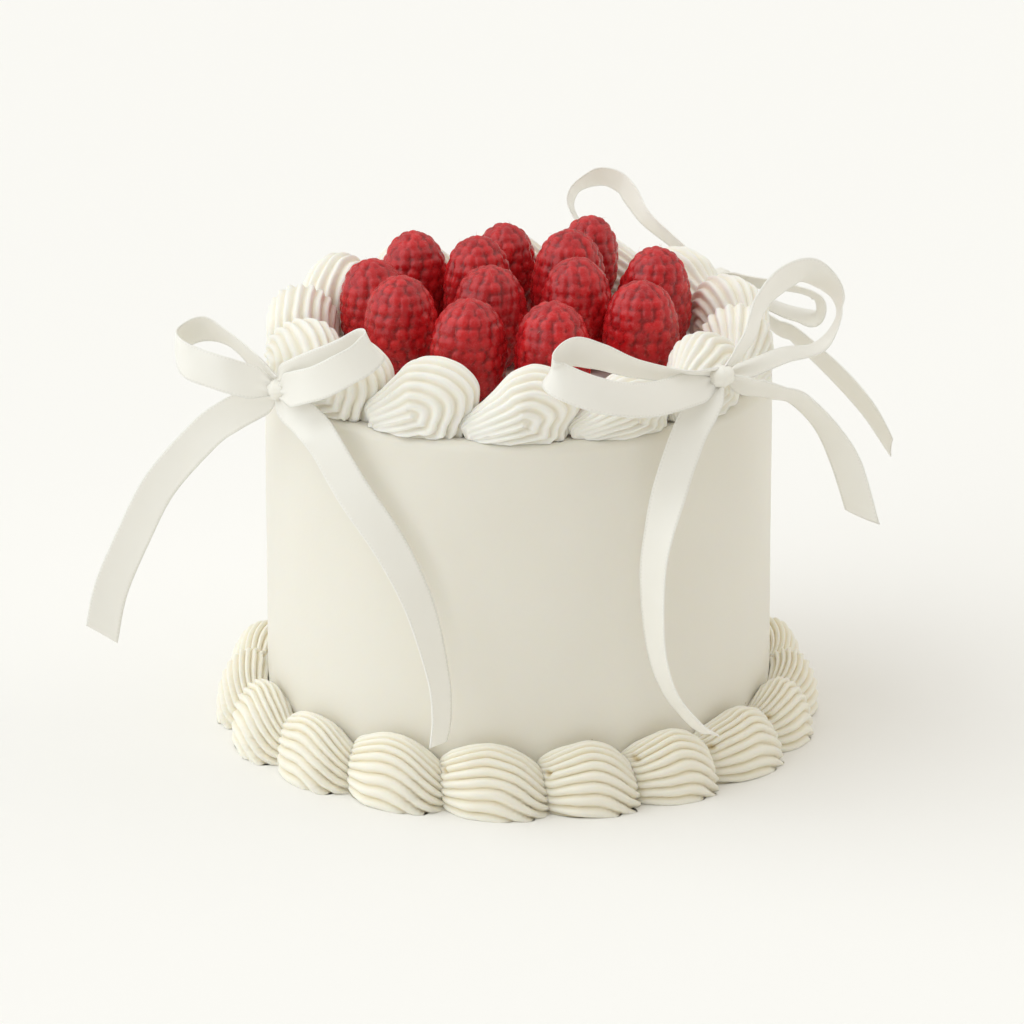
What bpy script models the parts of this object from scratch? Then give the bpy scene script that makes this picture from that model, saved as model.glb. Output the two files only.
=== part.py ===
"""Frosted angel food cake: piped shell borders, a heap of raspberries and three satin bows.

Metres, +Z up. The origin is the middle of the cake's flat bottom and -Y is the front.
An azimuth is measured from the front, and grows to the right as the front is looked at.
"""
import math
import random

import bmesh
import bpy
from mathutils import Matrix, Vector

MM = 0.001
GAP = 0.3 * MM

# Cake
CAKE_RADIUS = 0.0740
CAKE_HEIGHT = 0.1079
RIM_ROUND = 0.003
CAKE_STEPS = 64

# Top border
TOP_SHELLS = 14
TOP_RING_RADIUS = 0.0636
TOP_FIRST_AZIMUTH = 3.5
TOP_HALF_WIDTH = 0.0112
# Each shell's height beside the usual one, from the front round to the right
TOP_HEIGHTS = (1.0, 0.72, 0.97, 1.0, 0.98, 1.02, 0.97, 1.01, 0.99, 1.02, 0.98, 0.92, 1.0, 1.0)
TOP_RIDGE_DEPTH = 0.055
TOP_ROUNDNESS = 0.8
TOP_LATITUDES = 11
TAIL_DRIFT = 0.30
TOP_EYE = (0.0, 4.5)
# Side outline in mm, along the border and up, from the foot round the head to the tail
TOP_OUTLINE = (
    (7.0, -4.0), (10.8, 4.0), (12.9, 9.5), (12.0, 14.8), (8.0, 19.3), (1.2, 21.7),
    (-5.0, 19.8), (-9.6, 14.5), (-12.5, 9.0), (-16.5, 3.5), (-8.0, -4.5),
)

# Bottom border
BOTTOM_SHELLS = 19
BOTTOM_RING_RADIUS = 0.0795
# Azimuths where neighbouring shells meet along the front; the rest are evenly spaced
BOTTOM_FRONT_JOINTS = (-79.0, -57.8, -36.8, -15.6, 5.5, 24.4, 43.0, 64.0)
BOTTOM_RIDGE_DEPTH = 0.05
BOTTOM_ARCH_POINTS = 13
# Along the border, shift outward and height of the axis, half width and half height, in mm,
# for a shell that spans the even spacing
BOTTOM_RINGS = (
    (-12.9, -3.0, 5.0, 5.6, 10.2), (-10.4, -1.9, 4.8, 7.2, 12.0), (-6.0, -0.6, 4.0, 8.7, 14.6),
    (-0.3, 0.0, 3.0, 9.4, 16.6), (5.6, 0.0, 1.3, 9.3, 16.5), (10.4, -0.7, -0.3, 7.9, 14.4),
    (12.9, -1.8, -1.1, 6.0, 12.2),
)

# Raspberries: foot x, foot y, foot height, tip x, tip y, tip height and width, in mm,
# with the heights counted from the flat top
RASPBERRIES = (
    (-40.7, 9.0, 0.3, -43.0, 9.0, 29.3, 20.5),
    (-33.5, -12.0, 0.3, -34.2, -12.0, 30.7, 21.5),
    (-30.0, 30.5, 0.3, -31.0, 32.0, 30.8, 20.0),
    (-11.6, 20.5, 0.3, -12.0, 21.5, 32.5, 20.5),
    (-8.3, -2.0, 0.3, -8.3, -1.0, 30.5, 22.0),
    (-14.2, -31.5, 0.3, -14.2, -31.5, 30.0, 22.0),
    (-4.5, 41.5, 0.3, -3.8, 41.5, 30.2, 19.5),
    (9.7, -34.5, 0.3, 9.7, -34.5, 30.0, 22.0),
    (16.8, -1.5, 0.3, 16.8, -0.5, 32.8, 21.5),
    (14.0, 21.0, 0.3, 15.3, 22.5, 34.2, 22.0),
    (20.0, 41.0, 8.0, 21.6, 43.5, 32.0, 17.5),
    (35.3, -14.8, 0.3, 35.3, -14.5, 30.0, 22.0),
    (40.3, 12.0, 1.5, 40.0, 14.5, 31.4, 20.5),
    (35.2, 29.2, 1.0, 35.1, 29.6, 20.4, 12.5),
)
BERRY_SIDES = 14
BERRY_BUMP = 0.035
# Share of the height and share of the widest radius
BERRY_PROFILE = (
    (0.03, 0.50), (0.13, 0.80), (0.28, 0.96), (0.44, 1.0), (0.61, 0.95), (0.77, 0.80), (0.91, 0.54),
)

# Ribbon
RIBBON_WIDTH = 0.0100
RIBBON_THICKNESS = 0.0006
KNOT_RADIUS = 0.0040
KNOT_GATHER = 0.35
GATHER_LENGTH = 0.012
LOOP_SECTIONS = 17
TAIL_SECTIONS = 11

# Bow routes in mm: a point of the ribbon's middle and the direction across its width
LEFT_KNOT = (-68.5, -41.5, 114.0)
LEFT_LOOP_A = (
    ((-69, -40, 116), (-0.1, 0.6, -0.8)),
    ((-75, -35, 120), (-0.2, 0.8, -0.6)),
    ((-83, -28, 125), (-0.1, 0.8, -0.6)),
    ((-90, -25, 127), (-0.1, 0.5, -0.9)),
    ((-96, -26, 125), (0.0, 0.4, -0.9)),
    ((-98, -31, 123), (0.0, 0.2, -1.0)),
    ((-94, -38, 121), (0.0, -0.2, -1.0)),
    ((-84, -43, 119), (0.1, -0.3, -1.0)),
    ((-74, -43, 116), (0.1, -0.5, -0.8)),
    ((-69, -42, 114), (0.1, -0.5, -0.8)),
)
LEFT_LOOP_B = (
    ((-68, -42, 116), (0.1, 0.4, -0.9)),
    ((-64, -48, 120), (0.3, 0.3, -0.9)),
    ((-57, -57, 126), (0.4, 0.1, -0.9)),
    ((-49, -62, 131), (0.5, 0.1, -0.9)),
    ((-43, -64, 135), (0.5, 0.1, -0.8)),
    ((-41, -67, 135), (0.5, 0.0, -0.8)),
    ((-44, -69, 132), (0.5, 0.0, -0.9)),
    ((-49, -69, 129), (0.5, 0.0, -0.9)),
    ((-56, -65, 124), (0.4, -0.1, -0.9)),
    ((-62, -58, 120), (0.2, -0.1, -1.0)),
    ((-68, -44, 114), (0.1, -0.3, -0.9)),
)
LEFT_TAIL_A = (
    ((-73, -40, 111), (0.7, -0.1, -0.6)),
    ((-83, -36, 104), (0.7, -0.2, -0.7)),
    ((-90, -34, 98), (0.8, -0.2, -0.6)),
    ((-103, -31, 82), (0.9, -0.1, -0.4)),
    ((-111, -30, 66), (1.0, -0.1, -0.2)),
    ((-118, -29, 49), (1.0, 0.0, -0.1)),
    ((-121, -29, 35), (1.0, 0.1, -0.3)),
)
LEFT_TAIL_B = (
    ((-66, -46, 111), (0.7, -0.6, 0.3)),
    ((-60, -53, 108), (0.8, -0.5, 0.2)),
    ((-55, -60, 104), (0.9, -0.4, 0.1)),
    ((-47, -67, 92), (1.0, -0.2, 0.0)),
    ((-36, -74, 77), (0.9, 0.3, 0.1)),
    ((-28, -79, 61), (0.8, 0.6, 0.0)),
    ((-23, -82, 42), (0.6, 0.8, -0.1)),
    ((-22, -86, 31), (0.5, 0.8, -0.2)),
    ((-23, -90, 24), (0.4, 0.8, -0.4)),
)

RIGHT_KNOT = (57.0, -57.0, 123.0)
RIGHT_LOOP_A = (
    ((56, -57, 124), (0.1, 0.6, -0.8)),
    ((48, -62, 125), (0.0, 0.7, -0.7)),
    ((33, -69, 130), (0.0, 0.6, -0.8)),
    ((22, -74, 134), (0.0, 0.4, -0.9)),
    ((14, -78, 136), (-0.2, 0.2, -1.0)),
    ((9, -83, 132), (-0.2, -0.1, -1.0)),
    ((14, -86, 129), (0.0, -0.3, -1.0)),
    ((25, -85, 126), (0.2, -0.3, -0.9)),
    ((37, -78, 123), (0.3, -0.3, -0.9)),
    ((50, -64, 122), (0.2, -0.5, -0.8)),
    ((56, -58, 122), (0.1, -0.6, -0.8)),
)
RIGHT_LOOP_B = (
    ((58, -56, 124), (0.2, 0.9, -0.4)),
    ((65, -47, 131), (0.3, 0.9, -0.4)),
    ((69, -37, 138), (0.3, 0.8, -0.5)),
    ((75, -28, 142), (0.2, 0.6, -0.8)),
    ((83, -19, 142), (0.0, 0.6, -0.8)),
    ((90, -14, 135), (-0.1, 0.7, -0.7)),
    ((92, -15, 128), (-0.1, 0.9, -0.4)),
    ((86, -24, 122), (-0.1, 1.0, -0.1)),
    ((74, -39, 123), (0.0, 1.0, 0.0)),
    ((58, -56, 122), (0.0, 1.0, 0.1)),
)
RIGHT_TAIL_A = (
    ((54, -60, 119), (1.0, -0.2, -0.2)),
    ((51, -64, 114), (1.0, -0.1, -0.1)),
    ((48, -67, 109), (1.0, 0.0, 0.0)),
    ((44, -70, 98), (1.0, 0.0, 0.0)),
    ((40, -73, 83), (0.8, -0.5, 0.2)),
    ((38, -75, 69), (0.7, -0.7, 0.2)),
    ((39, -77, 49), (0.5, -0.8, 0.3)),
    ((43, -79, 36), (0.4, -0.9, 0.3)),
    ((50, -80, 27), (0.3, -0.9, 0.4)),
    ((55, -79, 23), (0.2, -0.9, 0.4)),
)
RIGHT_TAIL_B = (
    ((62, -55, 121), (0.1, 0.8, -0.6)),
    ((66, -52, 118), (0.1, 0.7, -0.7)),
    ((73, -48, 115), (0.0, 0.8, -0.6)),
    ((80, -43, 111), (-0.1, 0.8, -0.6)),
    ((88, -37, 101), (-0.4, 0.7, -0.5)),
    ((94, -34, 89), (-0.8, 0.5, -0.4)),
    ((99, -32, 72), (-0.9, 0.5, 0.0)),
)

BACK_KNOT = (59.5, 54.5, 117.0)
BACK_LOOP_A = (
    ((58, 55, 118), (0.0, 0.9, -0.5)),
    ((47, 64, 125), (-0.1, 0.8, -0.5)),
    ((39, 72, 130), (-0.2, 0.8, -0.5)),
    ((34, 80, 135), (-0.3, 0.7, -0.6)),
    ((30, 85, 138), (-0.2, 0.7, -0.7)),
    ((24, 89, 138), (0.0, 0.7, -0.7)),
    ((17, 90, 134), (0.2, 0.9, -0.5)),
    ((16, 88, 128), (0.2, 0.9, -0.4)),
    ((23, 82, 121), (0.2, 0.9, -0.4)),
    ((39, 72, 116), (0.1, 0.9, -0.4)),
    ((58, 56, 116), (0.1, 0.9, -0.5)),
)
BACK_LOOP_B = (
    ((61, 54, 118), (0.0, 0.9, -0.5)),
    ((68, 48, 118), (0.0, 0.8, -0.5)),
    ((76, 41, 119), (0.0, 0.9, -0.5)),
    ((83, 36, 119), (0.1, 0.9, -0.5)),
    ((88, 34, 117), (-0.2, 0.9, -0.4)),
    ((88, 36, 112), (-0.2, 0.9, -0.3)),
    ((84, 41, 110), (0.0, 1.0, 0.0)),
    ((75, 48, 111), (0.1, 1.0, 0.0)),
    ((61, 54, 116), (0.1, 1.0, 0.0)),
)
BACK_TAIL = (
    ((65, 50, 112), (0.0, 0.9, -0.5)),
    ((76, 42, 106), (-0.1, 0.8, -0.6)),
    ((82, 38, 104), (-0.2, 0.8, -0.6)),
    ((94, 30, 95), (-0.4, 0.8, -0.5)),
    ((103, 24, 86), (-0.4, 0.8, -0.4)),
    ((110, 21, 75), (-0.3, 0.9, -0.3)),
)
BACK_TAIL_HIDDEN = (
    ((57, 61, 111), (0.8, -0.6, 0.0)),
    ((53, 66, 100), (0.8, -0.6, 0.0)),
    ((48, 71, 85), (0.8, -0.6, 0.0)),
    ((44, 75, 68), (0.8, -0.6, 0.0)),
    ((43, 77, 50), (0.8, -0.6, 0.0)),
    ((45, 79, 32), (0.8, -0.6, 0.0)),
)

UNEVEN_SEED = 7
UNEVEN_SIZE = 0.03


def clear_scene():
    for item in list(bpy.context.scene.objects):
        bpy.data.objects.remove(item, do_unlink=True)


def new_collection(name):
    collection = bpy.data.collections.new(name)
    bpy.context.scene.collection.children.link(collection)
    return collection


def new_material(name, colour, roughness):
    material = bpy.data.materials.new(name)
    material.use_nodes = True
    shader = material.node_tree.nodes["Principled BSDF"]
    shader.inputs["Base Color"].default_value = (*colour, 1.0)
    shader.inputs["Roughness"].default_value = roughness
    shader.inputs["Metallic"].default_value = 0.0
    return material


def object_from_bmesh(mesh_builder, name, collection, material):
    """Turn a filled bmesh into a smooth object and free the bmesh."""
    bmesh.ops.recalc_face_normals(mesh_builder, faces=mesh_builder.faces)
    mesh = bpy.data.meshes.new(name)
    mesh_builder.to_mesh(mesh)
    mesh_builder.free()
    mesh.materials.append(material)
    mesh.shade_smooth()
    item = bpy.data.objects.new(name, mesh)
    collection.objects.link(item)
    return item


def loft(sections):
    """Join equal closed sections into one capped solid."""
    builder = bmesh.new()
    rings = [[builder.verts.new(point) for point in section] for section in sections]
    count = len(rings[0])
    for near, far in zip(rings, rings[1:]):
        for index in range(count):
            following = (index + 1) % count
            builder.faces.new((near[index], near[following], far[following], far[index]))
    builder.faces.new(rings[0][::-1])
    builder.faces.new(rings[-1])
    return builder


def loft_between_poles(first, rings, last):
    """Join closed rings into a solid that ends in a single point at both ends."""
    builder = bmesh.new()
    start = builder.verts.new(first)
    loops = [[builder.verts.new(point) for point in ring] for ring in rings]
    end = builder.verts.new(last)
    count = len(loops[0])
    for index in range(count):
        following = (index + 1) % count
        builder.faces.new((start, loops[0][following], loops[0][index]))
        for near, far in zip(loops, loops[1:]):
            builder.faces.new((near[index], near[following], far[following], far[index]))
        builder.faces.new((end, loops[-1][index], loops[-1][following]))
    return builder


def on_ring(radius, azimuth, along, outward, up):
    """World point of a place that is measured along, out of and above a round border."""
    angle = azimuth + along / radius
    reach = radius + outward
    return Vector((reach * math.sin(angle), -reach * math.cos(angle), up))


def make_cake(collection, material):
    """Turned cake: flat top, rounded rim, straight wall, flat bottom."""
    builder = bmesh.new()
    profile = [(0.0, CAKE_HEIGHT)]
    for angle in (90, 60, 30, 0):
        turn = math.radians(angle)
        profile.append((
            CAKE_RADIUS - RIM_ROUND + RIM_ROUND * math.cos(turn),
            CAKE_HEIGHT - RIM_ROUND + RIM_ROUND * math.sin(turn),
        ))
    profile += [(CAKE_RADIUS, 0.0), (0.0, 0.0)]
    points = [builder.verts.new((radius, 0, height)) for radius, height in profile]
    for upper, lower in zip(points, points[1:]):
        builder.edges.new((upper, lower))
    mesh = bpy.data.meshes.new("cake")
    builder.to_mesh(mesh)
    builder.free()
    mesh.materials.append(material)
    cake = bpy.data.objects.new("cake", mesh)
    collection.objects.link(cake)
    turned = cake.modifiers.new("turned", "SCREW")
    turned.steps = CAKE_STEPS
    turned.render_steps = CAKE_STEPS
    turned.use_merge_vertices = True
    turned.merge_threshold = 0.00001
    turned.use_smooth_shade = True
    return cake


def top_shell_sections(height_scale, width_scale):
    """Rings of a piped shell round the eye of its swirl, from the outer side to the inner."""
    eye_along, eye_up = TOP_EYE
    rings = []
    for step in range(1, TOP_LATITUDES + 1):
        turn = math.pi * step / (TOP_LATITUDES + 1)
        ridge = 1 + TOP_RIDGE_DEPTH * (1 if step % 2 else -1)
        outward = TOP_HALF_WIDTH * width_scale * math.cos(turn) * ridge
        reach = math.sin(turn) ** TOP_ROUNDNESS * ridge / (1 + TOP_RIDGE_DEPTH)
        ring = []
        for along, up in TOP_OUTLINE:
            place_along = eye_along + (along - eye_along) * reach
            place_up = max(0.0, (eye_up + (up - eye_up) * reach) * height_scale)
            drift = TAIL_DRIFT * max(0.0, -place_along) * MM
            ring.append((place_along * MM, outward + drift, place_up * MM))
        rings.append(ring)
    return rings


def make_top_shell(index, uneven, collection, material):
    azimuth = math.radians(TOP_FIRST_AZIMUTH + index * 360 / TOP_SHELLS)
    height_scale = TOP_HEIGHTS[index]
    width_scale = 1 + uneven.uniform(-UNEVEN_SIZE, UNEVEN_SIZE)
    floor = CAKE_HEIGHT + GAP

    def place(along, outward, up):
        return on_ring(TOP_RING_RADIUS, azimuth, along, outward, floor + up)

    eye_up = TOP_EYE[1] * height_scale * MM
    outer = place(TOP_EYE[0] * MM, TOP_HALF_WIDTH * width_scale, eye_up)
    inner = place(TOP_EYE[0] * MM, -TOP_HALF_WIDTH * width_scale, eye_up)
    sections = top_shell_sections(height_scale, width_scale)
    rings = [[place(*point) for point in ring] for ring in sections]
    return object_from_bmesh(
        loft_between_poles(outer, rings, inner), f"top_shell_{index + 1:02d}", collection, material)


def bottom_joints():
    """Azimuths where the shells of the bottom border meet, once round."""
    first, last = BOTTOM_FRONT_JOINTS[0], BOTTOM_FRONT_JOINTS[-1]
    behind = BOTTOM_SHELLS + 1 - len(BOTTOM_FRONT_JOINTS)
    spacing = (first + 360 - last) / behind
    return list(BOTTOM_FRONT_JOINTS) + [last + spacing * step for step in range(1, behind + 1)]


def bottom_shell_section(shift, axis_up, half_width, half_height, wall):
    """Ridged arch from the foot over to the wall, closed down the wall and along the floor."""
    foot = -math.asin(max(-1.0, min(1.0, axis_up / half_height)))
    meet = math.acos(max(-1.0, min(1.0, (wall - shift) / half_width)))
    section = []
    for step in range(BOTTOM_ARCH_POINTS):
        turn = foot + (meet - foot) * step / (BOTTOM_ARCH_POINTS - 1)
        inner_step = 0 < step < BOTTOM_ARCH_POINTS - 1
        ridge = 1 + BOTTOM_RIDGE_DEPTH * (1 if step % 2 else -1) * inner_step
        outward = max(wall, shift + half_width * math.cos(turn) * ridge)
        up = max(0.0, axis_up + half_height * math.sin(turn) * ridge)
        section.append((outward, up))
    section.append((section[-1][0], 0.0))
    return section


def make_bottom_shell(index, uneven, collection, material):
    start, end = bottom_joints()[index:index + 2]
    azimuth = math.radians((start + end) / 2)
    stretch = (end - start) * BOTTOM_SHELLS / 360
    size = 1 + uneven.uniform(-UNEVEN_SIZE, UNEVEN_SIZE)
    wall = CAKE_RADIUS + GAP - BOTTOM_RING_RADIUS
    sections = []
    for along, shift, axis_up, half_width, half_height in BOTTOM_RINGS:
        section = bottom_shell_section(
            shift * MM, axis_up * MM, half_width * size * MM, half_height * size * MM, wall)
        place = along * stretch * MM
        sections.append([
            on_ring(BOTTOM_RING_RADIUS, azimuth, place, outward, up) for outward, up in section])
    return object_from_bmesh(
        loft(sections), f"bottom_shell_{index + 1:02d}", collection, material)


def make_raspberry(index, numbers, uneven, collection, material):
    """Rings of bumps, each ring turned by half a bump, from the foot to the tip."""
    foot_x, foot_y, foot_height, tip_x, tip_y, tip_height, width = (value * MM for value in numbers)
    foot = Vector((foot_x, foot_y, CAKE_HEIGHT + foot_height))
    tip = Vector((tip_x, tip_y, CAKE_HEIGHT + tip_height))
    axis = tip - foot
    turned = Vector((0, 0, 1)).rotation_difference(axis).to_matrix()
    spin = uneven.uniform(0, math.tau)
    rings = []
    for row, (rise, share) in enumerate(BERRY_PROFILE):
        ring = []
        for side in range(BERRY_SIDES):
            angle = spin + math.tau * (side + row % 2 / 2) / BERRY_SIDES
            bump = 1 + BERRY_BUMP * (1 if (side + row // 2) % 2 else -1)
            radius = width / 2 * share * bump
            flat = Vector((radius * math.cos(angle), radius * math.sin(angle), 0))
            ring.append(foot + axis * rise + turned @ flat)
        rings.append(ring)
    return object_from_bmesh(
        loft_between_poles(foot, rings, tip), f"raspberry_{index + 1:02d}", collection, material)


def smooth_value(before, start, end, after, share):
    """Catmull-Rom curve between start and end."""
    return 0.5 * (
        2 * start + (end - before) * share
        + (2 * before - 5 * start + 4 * end - after) * share ** 2
        + (3 * start - before - 3 * end + after) * share ** 3
    )


def ribbon_path(route, sections):
    """Evenly numbered middle points and width directions along a hand-set route."""
    middles = [Vector(point) * MM for point, across in route]
    widths = [Vector(across).normalized() for point, across in route]
    last = len(route) - 1
    path = []
    for step in range(sections):
        place = step * last / (sections - 1)
        start = min(int(place), last - 1)
        share = place - start
        picks = (max(start - 1, 0), start, start + 1, min(start + 2, last))
        middle = smooth_value(*(middles[pick] for pick in picks), share)
        across = smooth_value(*(widths[pick] for pick in picks), share).normalized()
        path.append((middle, across))
    return path


def ribbon_strip(route, sections, gather_start, gather_end):
    """A flat strip with four corners in each section, drawn together where it meets the knot."""
    path = ribbon_path(route, sections)
    lengths = [0.0]
    for (before, _), (after, _) in zip(path, path[1:]):
        lengths.append(lengths[-1] + (after - before).length)
    corners = []
    for step, (middle, across) in enumerate(path):
        ahead = path[min(step + 1, sections - 1)][0] - path[max(step - 1, 0)][0]
        face = ahead.cross(across).normalized()
        across = face.cross(ahead).normalized()
        to_knot = 1.0
        if gather_start:
            to_knot = min(to_knot, lengths[step] / GATHER_LENGTH)
        if gather_end:
            to_knot = min(to_knot, (lengths[-1] - lengths[step]) / GATHER_LENGTH)
        half = across * RIBBON_WIDTH / 2 * (KNOT_GATHER + (1 - KNOT_GATHER) * to_knot)
        lift = face * RIBBON_THICKNESS / 2
        corners.append([
            middle - half - lift, middle + half - lift, middle + half + lift, middle - half + lift])
    return loft(corners)


def make_bow(name, knot, loops, collection, cutters, material):
    """Knot with its two loops joined to it as one solid."""
    builder = bmesh.new()
    bmesh.ops.create_icosphere(builder, subdivisions=2, radius=KNOT_RADIUS)
    bow = object_from_bmesh(builder, name, collection, material)
    bow.location = Vector(knot) * MM
    for letter, route in zip("ab", loops):
        strip = ribbon_strip(route, LOOP_SECTIONS, True, True)
        form = object_from_bmesh(strip, f"{name}_loop_{letter}_form", cutters, material)
        form.hide_render = True
        form.display_type = "WIRE"
        joined = bow.modifiers.new(f"loop_{letter}", "BOOLEAN")
        joined.operation = "UNION"
        joined.object = form
    return bow


def make_tail(name, route, collection, material):
    return object_from_bmesh(
        ribbon_strip(route, TAIL_SECTIONS, True, False), name, collection, material)


def main():
    clear_scene()
    collection = new_collection("angel_food_cake")
    cutters = new_collection("forms")
    icing = new_material("icing", (0.86, 0.82, 0.74), 0.45)
    piping = new_material("piped_icing", (0.88, 0.84, 0.74), 0.42)
    fruit = new_material("raspberry", (0.40, 0.02, 0.03), 0.40)
    satin = new_material("satin_ribbon", (0.86, 0.84, 0.78), 0.35)
    uneven = random.Random(UNEVEN_SEED)

    make_cake(collection, icing)
    for index in range(TOP_SHELLS):
        make_top_shell(index, uneven, collection, piping)
    for index in range(BOTTOM_SHELLS):
        make_bottom_shell(index, uneven, collection, piping)
    for index, numbers in enumerate(RASPBERRIES):
        make_raspberry(index, numbers, uneven, collection, fruit)

    make_bow("bow_left", LEFT_KNOT, (LEFT_LOOP_A, LEFT_LOOP_B), collection, cutters, satin)
    make_tail("bow_left_tail_a", LEFT_TAIL_A, collection, satin)
    make_tail("bow_left_tail_b", LEFT_TAIL_B, collection, satin)
    make_bow("bow_right", RIGHT_KNOT, (RIGHT_LOOP_A, RIGHT_LOOP_B), collection, cutters, satin)
    make_tail("bow_right_tail_a", RIGHT_TAIL_A, collection, satin)
    make_tail("bow_right_tail_b", RIGHT_TAIL_B, collection, satin)
    make_bow("bow_back", BACK_KNOT, (BACK_LOOP_A, BACK_LOOP_B), collection, cutters, satin)
    make_tail("bow_back_tail_a", BACK_TAIL, collection, satin)
    make_tail("bow_back_tail_b", BACK_TAIL_HIDDEN, collection, satin)


main()
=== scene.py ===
"""Frosted angel food cake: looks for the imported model.

Metres, +Z up. -Y is the front. An azimuth is measured from the front and grows to the right.
"""
import math
import random

import bpy
import numpy as np
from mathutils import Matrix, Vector, noise


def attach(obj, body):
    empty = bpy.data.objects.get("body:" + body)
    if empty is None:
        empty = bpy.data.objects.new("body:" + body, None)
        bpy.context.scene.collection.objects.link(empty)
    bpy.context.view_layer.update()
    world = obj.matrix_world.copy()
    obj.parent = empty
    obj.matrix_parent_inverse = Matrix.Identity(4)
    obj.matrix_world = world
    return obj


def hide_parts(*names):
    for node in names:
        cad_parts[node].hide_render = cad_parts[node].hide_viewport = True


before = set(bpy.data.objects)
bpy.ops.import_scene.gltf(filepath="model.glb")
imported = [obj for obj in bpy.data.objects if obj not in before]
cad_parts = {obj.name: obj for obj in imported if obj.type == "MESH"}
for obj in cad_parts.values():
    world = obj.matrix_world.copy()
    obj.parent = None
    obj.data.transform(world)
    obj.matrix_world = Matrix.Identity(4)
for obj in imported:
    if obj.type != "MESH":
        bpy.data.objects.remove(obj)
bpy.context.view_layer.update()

MM = 0.001
TAU = math.tau

CAKE_RADIUS = 74.0
CAKE_HEIGHT = 107.9
RIM_ROUND = 3.0
# How far toppings stay above the cake's top
CLEARANCE = 0.05

TOP_SHELLS = 14
TOP_RING_RADIUS = 63.6
TOP_FIRST_AZIMUTH = 3.5
TOP_HALF_WIDTH = 11.2
# How much the tail turns outward for each mm of its length
TAIL_DRIFT = 0.22
# Each shell's height beside the usual one, from the front round to the right
TOP_HEIGHTS = (0.93, 0.72, 0.97, 1.0, 0.98, 1.02, 0.97, 1.01, 0.99, 1.02, 0.98, 0.92, 1.0, 1.0)
TOP_OUTLINE = (
    (7.0, -4.0), (10.8, 4.0), (13.0, 9.5), (12.2, 14.8), (8.0, 19.2), (1.2, 21.6),
    (-5.0, 20.0), (-9.8, 15.6), (-13.6, 11.0), (-18.4, 4.2), (-11.0, -4.5),
)
# The line that the ridges fold round, from the head out to the tail
TOP_CORE = ((-2.6, 6.8), (-15.0, 0.8))
TOP_RIDGES = 12.5
TOP_GRID = (84, 76)
# The heads reach a little farther than the outline, to their neighbours
TOP_STRETCH = 1.05
# Depth of the grooves, and what is added to it toward the foot
TOP_DEPTH = 1.25
TOP_FOOT_DEPTH = 0.9

BOTTOM_SHELLS = 19
BOTTOM_RING_RADIUS = 79.5
# Azimuths where neighbouring shells meet along the front; the rest are evenly spaced
BOTTOM_FRONT_JOINTS = (-79.0, -57.8, -36.8, -15.6, 5.5, 24.4, 43.0, 64.0)
BOTTOM_RIDGES = 13.5
BOTTOM_GRID = (46, 110)
BOTTOM_DEPTH = 1.65
# A shell's hole: its place along the shell, height, radius and depth
HOLE_ALONG = -13.0
HOLE_HEIGHT = 12.3
HOLE_RADIUS = 0.95
HOLE_DEPTH = 1.2
# How much yellower the bottom border's crests are, and how much stronger its painted groove shade is,
# from 0 to 1
BOTTOM_YELLOW_AND_SHADE = 0.65
# Along the border, shift outward and height of the axis, half width and half height
BOTTOM_RINGS = (
    (-16.0, -4.6, 7.5, 0.6, 3.0), (-15.0, -4.2, 6.4, 3.4, 7.0), (-12.9, -3.0, 5.2, 5.8, 10.0),
    (-10.4, -1.9, 4.8, 7.2, 12.0), (-6.0, -0.6, 4.0, 8.7, 14.6), (-0.3, 0.0, 3.0, 9.4, 16.6),
    (5.6, 0.0, 1.3, 9.3, 16.5), (10.4, -0.7, -0.3, 7.9, 14.2), (12.9, -1.9, -1.0, 5.8, 11.2),
    (14.2, -3.0, -0.8, 3.4, 7.0), (14.8, -4.0, -0.6, 0.8, 0.6),
)

# Raspberries: foot x, foot y, foot height, tip x, tip y, tip height and width
RASPBERRIES = (
    (-40.7, 9.0, 0.3, -43.0, 9.0, 29.3, 20.5),
    (-33.5, -12.0, 0.3, -34.2, -12.0, 30.7, 21.5),
    (-30.0, 30.5, 0.3, -31.0, 32.0, 30.8, 20.0),
    (-11.6, 20.5, 0.3, -12.0, 21.5, 32.5, 20.5),
    (-8.3, -2.0, 0.3, -8.3, -1.0, 30.5, 22.0),
    (-14.2, -31.5, 0.3, -14.2, -31.5, 30.0, 22.0),
    (-4.5, 41.5, 0.3, -3.8, 41.5, 30.2, 19.5),
    (9.7, -34.5, 0.3, 9.7, -34.5, 30.0, 22.0),
    (16.8, -1.5, 0.3, 16.8, -0.5, 32.8, 21.5),
    (14.0, 21.0, 0.3, 15.3, 22.5, 34.2, 22.0),
    (20.0, 41.0, 8.0, 21.6, 43.5, 32.0, 17.5),
    (35.3, -14.8, 0.3, 35.3, -14.5, 30.0, 22.0),
    (40.3, 12.0, 1.5, 40.0, 14.5, 31.4, 20.5),
    (35.2, 29.2, 1.0, 35.1, 29.6, 20.4, 12.5),
)
BERRY_AROUND = 112
BERRY_UP = 54
# Hairs on a berry, and each hair's radius at shares of its length
HAIRS = 20
HAIR_RADII = ((0.0, 0.045), (0.5, 0.035), (1.0, 0.012))
DRUPELET = 3.6
DRUPELET_PROUD = 1.05
# The body lies this much inside the berry's width
BERRY_INSET = 0.7
# Share of the height and share of the widest radius
BERRY_PROFILE = (
    (0.0, 0.0), (0.005, 0.30), (0.03, 0.55), (0.13, 0.84), (0.28, 0.97), (0.44, 1.0), (0.61, 0.96),
    (0.77, 0.84), (0.89, 0.63), (0.965, 0.35), (1.0, 0.0),
)

RIBBON_WIDTH = 10.0
RIBBON_THICKNESS = 0.4
RIBBON_CURL = 0.35
KNOT_GATHER = 0.45
GATHER_LENGTH = 8.0
ACROSS = 12
STRIP_SECTIONS = 110
# Half the knot's length along the bow, and its radius
KNOT_HALF = 3.7
KNOT_RADIUS = 3.6

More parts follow.
